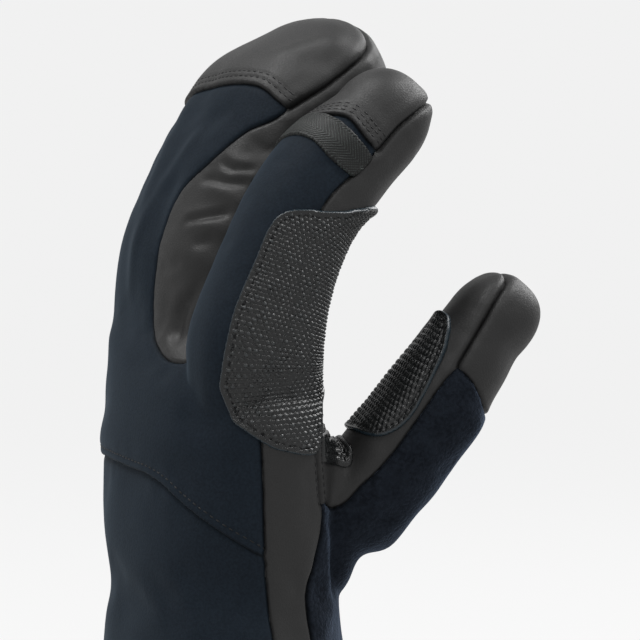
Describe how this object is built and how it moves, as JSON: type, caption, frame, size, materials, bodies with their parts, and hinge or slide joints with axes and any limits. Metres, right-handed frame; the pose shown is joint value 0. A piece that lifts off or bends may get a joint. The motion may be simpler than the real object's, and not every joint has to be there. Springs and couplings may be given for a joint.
{
  "type": "three-finger snowboard mitten",
  "caption": "Insulated three-finger snow mitten for the left hand, worn upright with curled fingers, in softshell cloth, leather and suede with grip patches on index finger and thumb.",
  "frame": {"origin": "centre of the cuff's opening", "axes": "+Z from the cuff to the fingertips, +X the way the palm faces, -Y the thumb side"},
  "size_m": [0.1155, 0.1117, 0.2567],
  "materials": {
    "softshell": "dark navy softshell cloth with a fine weave and a soft sheen",
    "leather": "black-brown fine-grained leather with soft highlights",
    "suede": "very dark navy brushed suede",
    "grip_knit": "black coated knit with raised glossy ribs",
    "webbing": "black webbing with a grey-green herringbone weave"
  },
  "bodies": {
    "root": {"back_panel": "softshell", "cuff_panel": "softshell", "fingertip_cap": "leather", "finger_gusset": "leather", "index_cap": "leather", "palm_panel": "leather", "thumb_front": "leather", "thumb_cap": "leather", "thumb_suede": "suede", "index_grip_patch": "grip_knit", "thumb_grip_patch": "grip_knit", "crotch_grip_patch": "grip_knit", "webbing_loop": "webbing"}
  },
  "joints": []
}
